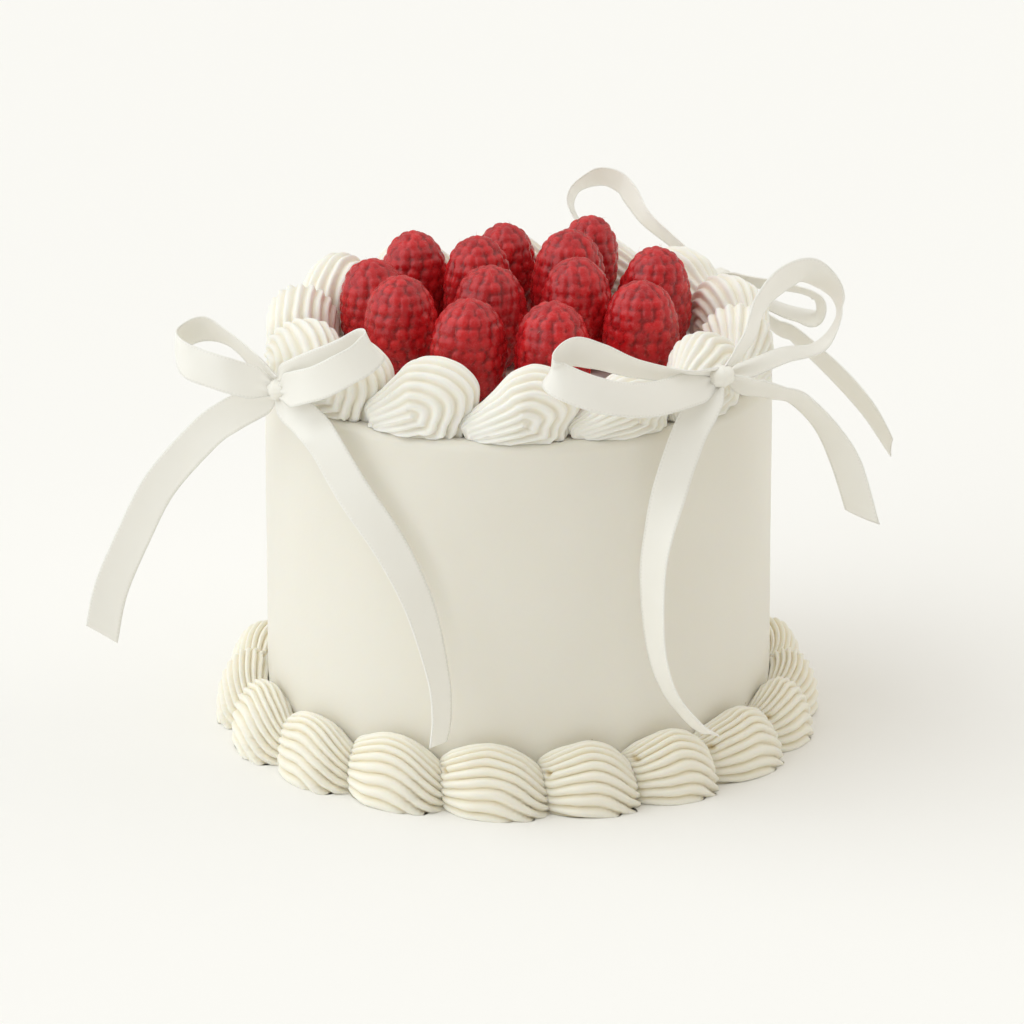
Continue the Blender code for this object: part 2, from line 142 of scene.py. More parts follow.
LEFT_KNOT = (-68.5, -41.5, 114.0)
LEFT_LOOP_A = (
    ((-69, -40, 116), (-0.1, 0.6, -0.8)), ((-75, -35, 120), (-0.2, 0.8, -0.6)),
    ((-83, -28, 125), (-0.1, 0.8, -0.6)), ((-90, -25, 127), (-0.1, 0.5, -0.9)),
    ((-96, -26, 125), (0.0, 0.4, -0.9)), ((-98, -31, 123), (0.0, 0.2, -1.0)),
    ((-94, -38, 121), (0.0, -0.2, -1.0)), ((-84, -43, 119), (0.1, -0.3, -1.0)),
    ((-74, -43, 116), (0.1, -0.5, -0.8)), ((-69, -42, 114), (0.1, -0.5, -0.8)),
)
LEFT_LOOP_B = (
    ((-68, -42, 116), (0.1, 0.4, -0.9)), ((-64, -48, 120), (0.3, 0.3, -0.9)),
    ((-57, -57, 126), (0.4, 0.1, -0.9)), ((-49, -62, 131), (0.5, 0.1, -0.9)),
    ((-43, -64, 135), (0.5, 0.1, -0.8)), ((-41, -67, 135), (0.5, 0.0, -0.8)),
    ((-44, -69, 132), (0.5, 0.0, -0.9)), ((-49, -69, 129), (0.5, 0.0, -0.9)),
    ((-56, -65, 124), (0.4, -0.1, -0.9)), ((-62, -58, 120), (0.2, -0.1, -1.0)),
    ((-68, -44, 114), (0.1, -0.3, -0.9)),
)
LEFT_TAIL_A = (
    ((-73, -40, 111), (0.7, -0.1, -0.6)), ((-83, -36, 104), (0.7, -0.2, -0.7)),
    ((-90, -34, 98), (0.8, -0.2, -0.6)), ((-103, -31, 82), (0.9, -0.1, -0.4)),
    ((-111, -30, 66), (1.0, -0.1, -0.2)), ((-118, -29, 49), (1.0, 0.0, -0.1)),
    ((-121, -29, 35), (1.0, 0.1, -0.3)),
)
LEFT_TAIL_B = (
    ((-66, -46, 111), (0.7, -0.6, 0.3)), ((-60, -53, 108), (0.8, -0.5, 0.2)),
    ((-55, -60, 104), (0.9, -0.4, 0.1)), ((-47, -67, 92), (1.0, -0.2, 0.0)),
    ((-36, -74, 77), (0.9, 0.3, 0.1)), ((-28, -79, 61), (0.8, 0.6, 0.0)),
    ((-23, -82, 42), (0.6, 0.8, -0.1)), ((-22, -86, 31), (0.5, 0.8, -0.2)),
    ((-23, -90, 24), (0.4, 0.8, -0.4)),
)
RIGHT_KNOT = (57.0, -57.0, 123.0)
RIGHT_LOOP_A = (
    ((56, -57, 124), (0.1, 0.6, -0.8)), ((48, -62, 124.6), (0.0, 0.8, -0.6)),
    ((33, -69, 129.2), (0.0, 0.7, -0.7)), ((22, -74, 134.5), (0.0, 0.5, -0.85)),
    ((14, -78, 137), (-0.3, 0.2, -1.0)), ((9, -83, 133), (-0.3, -0.1, -1.0)),
    ((14, -86, 130), (-0.1, -0.3, -1.0)), ((25, -85, 126), (0.2, -0.3, -0.9)),
    ((37, -78, 123), (0.3, -0.3, -0.9)), ((50, -64, 122), (0.2, -0.5, -0.8)),
    ((56, -58, 122), (0.1, -0.6, -0.8)),
)
RIGHT_LOOP_B = (
    ((58, -56, 124), (0.2, 0.9, -0.4)), ((65, -47, 131), (0.3, 0.9, -0.4)),
    ((69, -37, 138), (0.3, 0.8, -0.5)), ((75, -28, 142), (0.2, 0.6, -0.8)),
    ((83, -19, 142), (0.0, 0.6, -0.8)), ((90, -14, 135), (-0.1, 0.7, -0.7)),
    ((92, -15, 128), (-0.1, 0.9, -0.4)), ((86, -24, 122), (-0.1, 1.0, -0.1)),
    ((74, -39, 123), (0.0, 1.0, 0.0)), ((58, -56, 122), (0.0, 1.0, 0.1)),
)
RIGHT_TAIL_A = (
    ((54, -60, 119), (1.0, -0.2, -0.2)), ((51, -64, 114), (1.0, -0.1, -0.1)),
    ((48, -67, 109), (1.0, 0.0, 0.0)), ((44, -70, 98), (1.0, 0.0, 0.0)),
    ((40, -73, 83), (0.8, -0.5, 0.2)), ((38, -75, 69), (0.7, -0.7, 0.2)),
    ((39, -77, 49), (0.5, -0.8, 0.3)), ((43, -79, 36), (0.4, -0.9, 0.3)),
    ((50, -80, 27), (0.3, -0.9, 0.4)), ((55, -79, 23), (0.2, -0.9, 0.4)),
)
RIGHT_TAIL_B = (
    ((62, -55, 121), (0.1, 0.8, -0.6)), ((66, -52, 118), (0.1, 0.7, -0.7)),
    ((73, -48, 115), (0.0, 0.8, -0.6)), ((80, -43, 111), (-0.1, 0.8, -0.6)),
    ((88, -37, 101), (-0.4, 0.7, -0.5)), ((94, -34, 89), (-0.8, 0.5, -0.4)),
    ((99, -32, 72), (-0.9, 0.5, 0.0)),
)
BACK_KNOT = (59.5, 54.5, 117.0)
BACK_LOOP_A = (
    ((58, 55, 118), (0.0, 0.9, -0.5)), ((47, 64, 125), (-0.1, 0.8, -0.5)),
    ((39, 72, 130), (-0.2, 0.8, -0.5)), ((34, 80, 135), (-0.3, 0.7, -0.6)),
    ((30, 85, 138), (-0.2, 0.7, -0.7)), ((24, 89, 138), (0.0, 0.7, -0.7)),
    ((17, 90, 134), (0.2, 0.9, -0.5)), ((16, 88, 128), (0.2, 0.9, -0.4)),
    ((23, 82, 121), (0.2, 0.9, -0.4)), ((39, 72, 116), (0.1, 0.9, -0.4)),
    ((58, 56, 116), (0.1, 0.9, -0.5)),
)
BACK_LOOP_B = (
    ((61, 54, 118), (0.0, 0.9, -0.5)), ((68, 48, 118), (0.0, 0.8, -0.5)),
    ((76, 41, 119), (0.0, 0.9, -0.5)), ((83, 36, 119), (0.1, 0.9, -0.5)),
    ((88, 34, 117), (-0.2, 0.9, -0.4)), ((88, 36, 112), (-0.2, 0.9, -0.3)),
    ((84, 41, 110), (0.0, 1.0, 0.0)), ((75, 48, 111), (0.1, 1.0, 0.0)),
    ((61, 54, 116), (0.1, 1.0, 0.0)),
)
BACK_TAIL = (
    ((65, 50, 112), (0.0, 0.9, -0.5)), ((76, 42, 106), (-0.1, 0.8, -0.6)),
    ((82, 38, 104), (-0.2, 0.8, -0.6)), ((94, 30, 95), (-0.4, 0.8, -0.5)),
    ((103, 24, 86), (-0.4, 0.8, -0.4)), ((110, 21, 75), (-0.3, 0.9, -0.3)),
)
BACK_TAIL_HIDDEN = (
    ((57, 61, 111), (0.8, -0.6, 0.0)), ((53, 66, 100), (0.8, -0.6, 0.0)),
    ((48, 71, 85), (0.8, -0.6, 0.0)), ((44, 75, 68), (0.8, -0.6, 0.0)),
    ((43, 77, 50), (0.8, -0.6, 0.0)), ((45, 79, 32), (0.8, -0.6, 0.0)),
)

CAMERA_PLACE = (-0.0019, -2.0, 0.762)
CAMERA_PITCH = 19.28
CAMERA_LENS = 254.35


# Curves and grids


def smooth_value(before, start, end, after, share):
    """Catmull-Rom curve between start and end."""
    return 0.5 * (
        2 * start + (end - before) * share
        + (2 * before - 5 * start + 4 * end - after) * share ** 2
        + (3 * start - before - 3 * end + after) * share ** 3
    )


def smooth_curve(values, count, closed=False):
    """Catmull-Rom curve through all the values, as count rows."""
    values = np.asarray(values, dtype=float)
    size = len(values)
    spans = size if closed else size - 1
    rows = []
    for step in range(count):
        place = step * spans / (count if closed else count - 1)
        start = min(int(place), spans - 1)
        share = place - start
        picks = [start - 1, start, start + 1, start + 2]
        if closed:
            picks = [pick % size for pick in picks]
        else:
            picks = [min(max(pick, 0), size - 1) for pick in picks]
        rows.append(smooth_value(*(values[pick] for pick in picks), share))
    return np.array(rows)


def on_ring(radius, azimuth, along, outward, up):
    """Places measured along, out of and above a round border, in mm."""
    angle = azimuth + along / radius
    reach = radius + outward
    return np.stack([reach * np.sin(angle), -reach * np.cos(angle), up], axis=-1)


def unit(vectors):
    """The vectors at a length of 1."""
    return vectors / np.maximum(np.linalg.norm(vectors, axis=-1, keepdims=True), 1e-9)


def grid_normals(points, wrap):
    """Normals of a grid of points, rows by columns, whose columns may close on themselves."""
    down = np.gradient(points, axis=0)
    if wrap:
        side = np.roll(points, -1, axis=1) - np.roll(points, 1, axis=1)
    else:
        side = np.gradient(points, axis=1)
    return unit(np.cross(down, side))


def noise_at(points, scale, seed):
    """Smooth noise from -1 to 1 at each point, one lump every scale mm."""
    flat = points.reshape(-1, 3) / scale
    shift = Vector((seed * 7.31, seed * 3.17, seed * 5.03))
    values = [noise.noise(Vector(point) + shift) for point in flat]
    return np.array(values).reshape(points.shape[:-1])


def grid_faces(rows, columns, wrap, first=0):
    """Quads of a grid whose points are numbered row by row."""
    sides = columns if wrap else columns - 1
    row, column = np.meshgrid(np.arange(rows - 1), np.arange(sides), indexing="ij")
    following = (column + 1) % columns
    faces = np.stack([
        row * columns + column, row * columns + following,
        (row + 1) * columns + following, (row + 1) * columns + column,
    ], axis=-1)
    return (faces.reshape(-1, 4) + first).tolist()


class Shape:
    """Points in mm, faces and per-point values of one piece."""

    def __init__(self):
        self.points = []
        self.faces = []
        self.slots = []
        self.values = {}
        self.count = 0

    def add(self, points, faces, slot_index=0, **values):
        flat = np.asarray(points, dtype=float).reshape(-1, 3)
        self.faces += [[corner + self.count for corner in face] for face in faces]
        self.slots += [slot_index] * len(faces)
        for name, value in values.items():
            self.values.setdefault(name, []).append(np.asarray(value, dtype=float).ravel())
        self.points.append(flat)
        self.count += len(flat)

    def add_grid(self, points, wrap, slot_index=0, **values):
        rows, columns = points.shape[:2]
        self.add(points, grid_faces(rows, columns, wrap), slot_index, **values)


def turn_outward(mesh, points):
    """Flip the faces of a mesh that encloses a negative volume."""
    mesh.calc_loop_triangles()
    corners = np.empty(len(mesh.loop_triangles) * 3, dtype=np.int32)
    mesh.loop_triangles.foreach_get("vertices", corners)
    first, second, third = points[corners.reshape(-1, 3)].transpose(1, 0, 2)
    if np.sum(first * np.cross(second, third)) < 0:
        mesh.flip_normals()


def make_piece(name, shape, materials, nodes):
    """A smooth mesh piece that rides on the body and stands for CAD nodes."""
    points = np.concatenate(shape.points) * MM
    mesh = bpy.data.meshes.new(name)
    mesh.from_pydata(points.tolist(), [], shape.faces)
    for material in materials:
        mesh.materials.append(material)
    mesh.polygons.foreach_set("material_index", shape.slots)
    for label, parts in shape.values.items():
        values = np.concatenate(parts)
        layer = mesh.attributes.new(label, "FLOAT", "POINT")
        layer.data.foreach_set("value", values)
    mesh.shade_smooth()
    mesh.validate()
    turn_outward(mesh, points)
    mesh.update()
    piece = bpy.data.objects.new(name, mesh)
    bpy.context.scene.collection.objects.link(piece)
    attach(piece, "root")
    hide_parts(*nodes)
    return piece


# Materials


class Nodes:
    """Short calls for building a node material."""

    def __init__(self, name):
        self.material = bpy.data.materials.new(name)
        self.material.use_nodes = True
        self.tree = self.material.node_tree
        self.shader = self.tree.nodes["Principled BSDF"]

    def add(self, kind, **inputs):
        node = self.tree.nodes.new(kind)
        for label, value in inputs.items():
            self.set(node.inputs[label.replace("_", " ")], value)
        return node

    def set(self, socket, value):
        if isinstance(value, bpy.types.NodeSocket):
            self.tree.links.new(value, socket)
        else:
            socket.default_value = value

    def place(self):
        return self.add("ShaderNodeTexCoord").outputs["Object"]

    def value(self, label):
        node = self.tree.nodes.new("ShaderNodeAttribute")
        node.attribute_name = label
        return node.outputs["Fac"]

    def noise(self, vector, scale, detail=3.0, roughness=0.5):
        node = self.add(
            "ShaderNodeTexNoise", Vector=vector, Scale=scale, Detail=detail, Roughness=roughness)
        return node.outputs["Fac"]

    def range(self, value, low, high, to_low=0.0, to_high=1.0):
        node = self.add("ShaderNodeMapRange", Value=value)
        labels = ("From Min", "From Max", "To Min", "To Max")
        for label, number in zip(labels, (low, high, to_low, to_high)):
            node.inputs[label].default_value = number
        return node.outputs["Result"]

    def mix(self, share, first, second):
        node = self.tree.nodes.new("ShaderNodeMix")
        node.data_type = "RGBA"
        self.set(node.inputs[0], share)
        self.set(node.inputs[6], first)
        self.set(node.inputs[7], second)
        return node.outputs[2]

    def maths(self, kind, first, second=0.0):
        node = self.tree.nodes.new("ShaderNodeMath")
        node.operation = kind
        self.set(node.inputs[0], first)
        self.set(node.inputs[1], second)
        return node.outputs[0]

    def bump(self, height, distance, strength=1.0, after=None):
        node = self.add("ShaderNodeBump", Height=height, Distance=distance, Strength=strength)
        if after is not None:
            self.tree.links.new(after, node.inputs["Normal"])
        return node.outputs["Normal"]

    def finish(self, **sockets):
        for label, value in sockets.items():
            self.set(self.shader.inputs[label.replace("_", " ")], value)
        return self.material


def icing_material():
    """Smoothed icing: broad mottling, fine grain and a few tiny burst air bubbles, darkened with painted
    shade.
    """
    n = Nodes("smooth_icing")
    place = n.place()
    cloud = n.noise(place, 14, 4)
    colour = n.mix(cloud, (0.80, 0.765, 0.675, 1), (0.86, 0.835, 0.755, 1))
    grain = n.noise(place, 900, 2)
    drag = n.noise(place, 60, 3)
    cells = n.add("ShaderNodeTexVoronoi", Vector=place, Scale=170.0)
    pit = n.range(cells.outputs["Distance"], 0.025, 0.06, 1.0, 0.0)
    chance = n.range(n.noise(place, 41, 1), 0.63, 0.65)
    pit = n.maths("MULTIPLY", pit, chance)
    # Painted shade in the tiny pits
    colour = n.mix(pit, colour, (0.56, 0.47, 0.31, 1))
    normal = n.bump(drag, 0.0006, 0.25)
    normal = n.bump(grain, 0.00006, 0.5, normal)
    normal = n.bump(n.maths("SUBTRACT", 1.0, pit), 0.0002, 1.0, normal)
    return n.finish(
        Base_Color=colour, Roughness=n.range(cloud, 0.3, 0.7, 0.42, 0.52), Normal=normal,
        Subsurface_Weight=0.25, Subsurface_Radius=(1.0, 0.8, 0.5), Subsurface_Scale=0.002,
        Specular_IOR_Level=0.35)


def piping_material():
    """Piped icing: pale crests, painted warm shade in the grooves and in the small holes, and a fine
    grain.
    """
    n = Nodes("piped_icing_swirl")
    place = n.place()
    cloud = n.noise(place, 70, 3)
    crest = n.mix(cloud, (0.90, 0.88, 0.805, 1), (0.93, 0.915, 0.86, 1))
    # The bottom border's crests turn yellower
    crest = n.mix(n.value("butter"), crest, (0.91, 0.865, 0.735, 1))
    # Painted warm shade in the grooves, made stronger on the bottom border
    groove_shade = n.range(n.value("butter"), 0.0, 1.0, 0.75, 1.7)
    groove_shade = n.maths("MULTIPLY", n.range(n.value("groove"), 0.2, 1.0, 0.0, 0.6), groove_shade)
    colour = n.mix(groove_shade, crest, (0.82, 0.715, 0.465, 1))
    # Painted shade in the small holes of the bottom border
    hole = n.value("hole")
    colour = n.mix(n.range(hole, 0.2, 0.9, 0.0, 0.9), colour, (0.68, 0.55, 0.31, 1))
    cells = n.add("ShaderNodeTexVoronoi", Vector=place, Scale=260.0)
    pit = n.range(cells.outputs["Distance"], 0.05, 0.14, 1.0, 0.0)
    pit = n.maths("MULTIPLY", pit, n.range(n.noise(place, 120, 1), 0.62, 0.68))
    normal = n.bump(n.noise(place, 420, 3), 0.00018, 0.55)
    normal = n.bump(n.maths("SUBTRACT", 1.0, pit), 0.0002, 0.8, normal)
    return n.finish(
        Base_Color=colour, Roughness=n.range(cloud, 0.3, 0.7, 0.42, 0.52), Normal=normal,
        Subsurface_Weight=0.25, Subsurface_Radius=(1.0, 0.8, 0.5), Subsurface_Scale=0.0018,
        Specular_IOR_Level=0.35)


def raspberry_material():
    """Fruit: painted shade in the creases between the drupelets, each drupelet its own red, with a faint
    bloom.
    """
    n = Nodes("raspberry_fruit")
    place = n.place()
    red = n.mix(n.value("tint"), (0.33, 0.007, 0.012, 1), (0.69, 0.020, 0.023, 1))
    red = n.mix(n.noise(place, 500, 3), red, (0.54, 0.012, 0.016, 1))
    # Painted shade in the creases, where a point lies low between drupelets
    colour = n.mix(n.value("rise"), (0.25, 0.005, 0.007, 1), red)
    bloom = n.range(n.noise(place, 900, 4, 0.7), 0.45, 0.75, 0.0, 0.07)
    colour = n.mix(bloom, colour, (0.80, 0.30, 0.28, 1))
    normal = n.bump(n.noise(place, 1500, 3), 0.00012, 0.5)
    return n.finish(
        Base_Color=colour, Roughness=n.range(bloom, 0.0, 0.07, 0.22, 0.36), Normal=normal,
        Subsurface_Weight=0.15, Subsurface_Radius=(1.0, 0.08, 0.06), Subsurface_Scale=0.0015,
        Specular_IOR_Level=0.4)


def hair_material():
    """The fine pale hairs between the drupelets."""
    n = Nodes("raspberry_hair")
    colour = n.mix(n.noise(n.place(), 300, 2), (0.45, 0.12, 0.10, 1), (0.70, 0.36, 0.28, 1))
    return n.finish(Base_Color=colour, Roughness=0.5)


def satin_material():
    """Woven satin ribbon: a stitched, corded edge and a soft sheen."""
    n = Nodes("woven_satin")
    place = n.place()
    across = n.value("across")
    along = n.value("along")
    cloud = n.noise(place, 90, 2)
    colour = n.mix(cloud, (0.875, 0.85, 0.775, 1), (0.905, 0.885, 0.82, 1))
    edge = n.range(n.maths("ABSOLUTE", across), 0.84, 0.88)
    rim = n.range(n.maths("ABSOLUTE", across), 0.92, 0.96)
    stitch = n.range(n.maths("SINE", n.maths("MULTIPLY", along, TAU * 0.9)), -0.2, 0.5)
    stitch = n.maths("MULTIPLY", stitch, n.maths("SUBTRACT", edge, rim))
    colour = n.mix(n.maths("MULTIPLY", stitch, 0.25), colour, (0.70, 0.67, 0.59, 1))
    colour = n.mix(n.maths("MULTIPLY", rim, 0.3), colour, (0.92, 0.905, 0.86, 1))
    normal = n.bump(n.maths("SUBTRACT", rim, stitch), 0.00006, 0.4)
    return n.finish(
        Base_Color=colour, Roughness=n.range(cloud, 0.3, 0.7, 0.36, 0.42), Normal=normal,
        Sheen_Weight=0.15, Sheen_Roughness=0.35, Specular_IOR_Level=0.5,
        Subsurface_Weight=0.3, Subsurface_Radius=(1.0, 0.95, 0.85), Subsurface_Scale=0.002)


# Icing


def groove_wave(phase, sharpness=0.75):
    """0 at a groove and 1 at a crest, with round crests and narrow grooves."""
    return np.abs(np.sin(np.pi * phase)) ** sharpness


def make_iced_cake(material):
    """The cake's smoothed coat: a hand-smoothed wall with a soft, slightly uneven rim."""
    columns = 256
    profile = [(0.0, CAKE_HEIGHT)]
    profile += [(radius, CAKE_HEIGHT) for radius in np.linspace(6, CAKE_RADIUS - RIM_ROUND - 1.0, 12)]
    for turn in np.radians(np.linspace(90, 0, 10)):
        profile.append((
            CAKE_RADIUS - RIM_ROUND + RIM_ROUND * math.cos(turn),
            CAKE_HEIGHT - RIM_ROUND + RIM_ROUND * math.sin(turn)))
    profile += [(CAKE_RADIUS, height) for height in np.linspace(CAKE_HEIGHT - RIM_ROUND - 2, 0.0, 44)]
    profile.append((0.0, 0.0))
    profile = np.array(profile)
    angles = np.linspace(0, TAU, columns, endpoint=False)
    radius = np.repeat(profile[:, :1], columns, axis=1)
    up = np.repeat(profile[:, 1:], columns, axis=1)
    points = np.stack([radius * np.sin(angles), -radius * np.cos(angles), up], axis=-1)
    lump = noise_at(points * np.array([1.0, 1.0, 0.6]), 26.0, 1) * 0.18 + noise_at(points, 9.0, 2) * 0.05
    rim = np.exp(-((up - CAKE_HEIGHT + 2.0) / 3.0) ** 2) * (radius > CAKE_RADIUS - 8)
    rim_wave = noise_at(points, 7.0, 3) * 0.22 * rim
    wall = (radius > CAKE_RADIUS - RIM_ROUND - 0.5) & (up > 0.5)
    shift = np.where(wall, np.minimum(lump + rim_wave - 0.15, 0.0), 0.0)
    points[..., 0] += shift * np.sin(angles)
    points[..., 1] -= shift * np.cos(angles)
    points[..., 2] += np.where(wall & (up > CAKE_HEIGHT - 4), np.minimum(rim_wave, 0.05), 0.0)
    shape = Shape()
    shape.add_grid(points[:, ::-1], True)
    return make_piece("iced_cake", shape, [material], ["cake"])


def top_shell(index):
    """One piped shell: ridges that fold round a line from its head out to its low tail."""
    uneven = random.Random(index + 1)
    width = TOP_HALF_WIDTH * (1 + uneven.uniform(-0.03, 0.03))
    outline = np.array(TOP_OUTLINE) * (TOP_STRETCH, 1.0)
    outline = outline + [[uneven.uniform(-0.5, 0.5), uneven.uniform(-0.4, 0.4)] for _ in outline]
    outline = smooth_curve(outline, TOP_GRID[1], closed=True)
    head, tail = np.array(TOP_CORE) + [uneven.uniform(-1.2, 1.2), uneven.uniform(-0.5, 0.5)]
    run = tail - head
    share = np.clip((outline - head) @ run / (run @ run), 0, 1)
    core = head + share[:, None] * run
    turn = np.linspace(0, math.pi, TOP_GRID[0])[:, None]
    reach = np.sin(turn) ** 0.8
    along = core[:, 0] + (outline[:, 0] - core[:, 0]) * reach
    up = core[:, 1] + (outline[:, 1] - core[:, 1]) * reach
    thin = 1.0 - 0.76 * np.clip((-along - 3.0) / 15.0, 0, 1) ** 1.2
    drift = TAIL_DRIFT * np.maximum(0.0, -along)
    place = np.stack([along, width * thin * np.cos(turn) + drift, up * TOP_HEIGHTS[index]], axis=-1)
    normal = grid_normals(place, True)
    middle = np.stack([core[:, 0], 0 * core[:, 0], core[:, 1]], axis=-1)[None]
    facing = np.sum(normal[20:-20] * (place - middle)[20:-20], axis=-1).mean()
    normal = normal * (1.0 if facing > 0 else -1.0)
    normal[0] = (0.0, 1.0, 0.0)
    normal[-1] = (0.0, -1.0, 0.0)
    # Ridges run evenly across the shell, from the outer side over the top to the inner side
    arc = np.concatenate([[0.0], np.cumsum(np.hypot(
        TOP_HALF_WIDTH * np.diff(np.cos(turn[:, 0])), 16.5 * np.diff(reach[:, 0])))])
    wobble = noise_at(place, 9.0, index + 1) * 0.22 * np.sin(turn)
    phase = arc[:, None] / arc[-1] * TOP_RIDGES + wobble
    low = np.clip(1.0 - up / 13.0, 0.0, 1.0)
    gentle = 0.5 + 0.5 * np.cos(TAU * phase)
    sharp = np.abs(np.cos(math.pi * phase)) ** 0.8
    wave = gentle + (sharp - gentle) * (0.45 + 0.55 * low)
    size = np.clip(np.linalg.norm(outline - core, axis=1) / 11.0, 0.3, 1.0) * thin
    depth = (TOP_DEPTH + TOP_FOOT_DEPTH * low) * size
    crag = noise_at(place, 1.7, index + 40) * 1.3 * np.clip(1.0 - up / 5.0, 0, 1)
    soft = noise_at(place, 5.0, index + 80) * 0.25
    place = place + normal * (depth * (wave - 1.0) + crag + soft)[..., None]
    height = np.maximum(place[..., 2], 0.0) + CAKE_HEIGHT + CLEARANCE
    azimuth = math.radians(TOP_FIRST_AZIMUTH + index * 360 / TOP_SHELLS)
    world = on_ring(TOP_RING_RADIUS, azimuth, place[..., 0], place[..., 1], height)
    # The second value says how deep each point lies in a groove; the material paints shade there
    return world, (1.0 - wave) * size


def make_top_shells(material):
    shape = Shape()
    for index in range(TOP_SHELLS):
        world, groove = top_shell(index)
        shape.add_grid(world, True, groove=groove, hole=0 * groove, butter=0 * groove)
    nodes = [f"top_shell_{index + 1:02d}" for index in range(TOP_SHELLS)]
    return make_piece("top_shells", shape, [material], nodes)


def bottom_shell(start, end, seed):
    """One piped shell: ridges fan from a tail against the wall to a blunt, toothed head."""
    uneven = random.Random(seed)
    size = 1 + uneven.uniform(-0.03, 0.03)
    rings = smooth_curve(BOTTOM_RINGS, BOTTOM_GRID[0])
    along, shift, axis_up, half_width, half_height = (rings[:, column:column + 1] for column in range(5))
    half_width = np.maximum(half_width, 0.5) * size
    half_height = np.maximum(half_height, 0.5) * size
    wall = CAKE_RADIUS - 0.8 - BOTTOM_RING_RADIUS
    foot = -np.arcsin(np.clip((axis_up + 0.6) / half_height, -0.98, 1))
    meet = np.arccos(np.clip((wall - shift) / half_width, -1, 0.9))
    turn = foot + (meet - foot) * np.linspace(0, 1, BOTTOM_GRID[1])[None]
    stretched = along * (end - start) * BOTTOM_SHELLS / 360
    place = np.stack([
        stretched + 0 * turn, shift + half_width * np.cos(turn), axis_up + half_height * np.sin(turn)],
        axis=-1)
    up = place[..., 2]
    normal = -grid_normals(place, False)
    wobble = noise_at(place, 9.0, seed) * 0.2
    # The ridges arch over the middle and dive to the floor at both ends
    dive = 1.2 * np.clip((along - 1.0) / 13.0, 0, 1) ** 1.6
    dive = dive + 1.2 * np.clip(-along / 14.0, 0, 1) ** 1.6
    phase = turn / math.pi * BOTTOM_RIDGES + dive + wobble + uneven.uniform(-0.3, 0.3)
    wave = groove_wave(phase)
    full = np.clip(half_width / 8.0, 0.1, 1.0) * np.ones_like(turn)
    head = np.clip((along - 3.0) / 7.0, 0, 1) * np.clip(1.2 - up / 9.0, 0, 1)
    depth = BOTTOM_DEPTH * full * (1 + 0.9 * head)
    soft = noise_at(place, 5.0, seed + 30) * 0.3 + noise_at(place, 1.8, seed + 60) * (0.06 + 0.6 * head)
    # A small hole where the tail starts beside the neighbour's head
    hole_up = up - HOLE_HEIGHT + uneven.uniform(-1, 1)
    hole = np.exp(-((along - HOLE_ALONG) ** 2 + hole_up ** 2) / HOLE_RADIUS ** 2)
    hole = hole * np.clip(place[..., 1] + 2.0, 0, 1)
    place = place + normal * (depth * (wave - 1.0) + soft + 0.7 * head - HOLE_DEPTH * hole)[..., None]
    place[0] = place[0].mean(axis=0)
    place[-1] = place[-1].mean(axis=0)
    outward = np.maximum(place[..., 1], wall)
    azimuth = math.radians((start + end) / 2)
    world = on_ring(BOTTOM_RING_RADIUS, azimuth, place[..., 0], outward, np.maximum(place[..., 2], 0.0))
    # The second value says how deep each point lies in a groove; the material paints shade there
    return world, (1.0 - wave) * full, hole


def make_bottom_shells(material):
    first, last = BOTTOM_FRONT_JOINTS[0], BOTTOM_FRONT_JOINTS[-1]
    behind = BOTTOM_SHELLS + 1 - len(BOTTOM_FRONT_JOINTS)
    joints = list(BOTTOM_FRONT_JOINTS)
    joints += [last + (first + 360 - last) * step / behind for step in range(1, behind + 1)]
    shape = Shape()
    for index in range(BOTTOM_SHELLS):
        world, groove, hole = bottom_shell(joints[index], joints[index + 1], index + 101)
        shape.add_grid(world, False, groove=groove, hole=hole, butter=0 * groove + BOTTOM_YELLOW_AND_SHADE)
    nodes = [f"bottom_shell_{index + 1:02d}" for index in range(BOTTOM_SHELLS)]
    return make_piece("bottom_shells", shape, [material], nodes)


# Raspberries


def berry_drupelets(length, width, uneven):
    """Places and sizes of a berry's drupelets on its upright body, staggered row by row."""
    profile = smooth_curve(BERRY_PROFILE, 240)
    curve = np.stack([profile[:, 1] * width / 2, profile[:, 0] * length], axis=-1)
    steps = np.concatenate([[0.0], np.cumsum(np.linalg.norm(np.diff(curve, axis=0), axis=1))])
    seeds = []
    rows = max(3, round((steps[-1] - width * 0.32) / (DRUPELET * 0.88)))
    for row in range(rows + 1):
        travel = width * 0.30 + (steps[-1] - width * 0.30) * row / rows
        radius = np.interp(travel, steps, curve[:, 0])
        height = np.interp(travel, steps, curve[:, 1])
        around = max(1, round(TAU * radius / DRUPELET))
        if row == rows:
            around = 1
        for cell in range(around):
            angle = TAU * (cell + row % 2 / 2 + uneven.uniform(-0.12, 0.12)) / around
            lift = uneven.uniform(-0.35, 0.35)
            size = DRUPELET * uneven.uniform(0.62, 0.70)
            seeds.append((
                radius * math.cos(angle), radius * math.sin(angle), height + lift, size,
                uneven.uniform(0.88, 1.12), uneven.random()))
    return np.array(seeds)


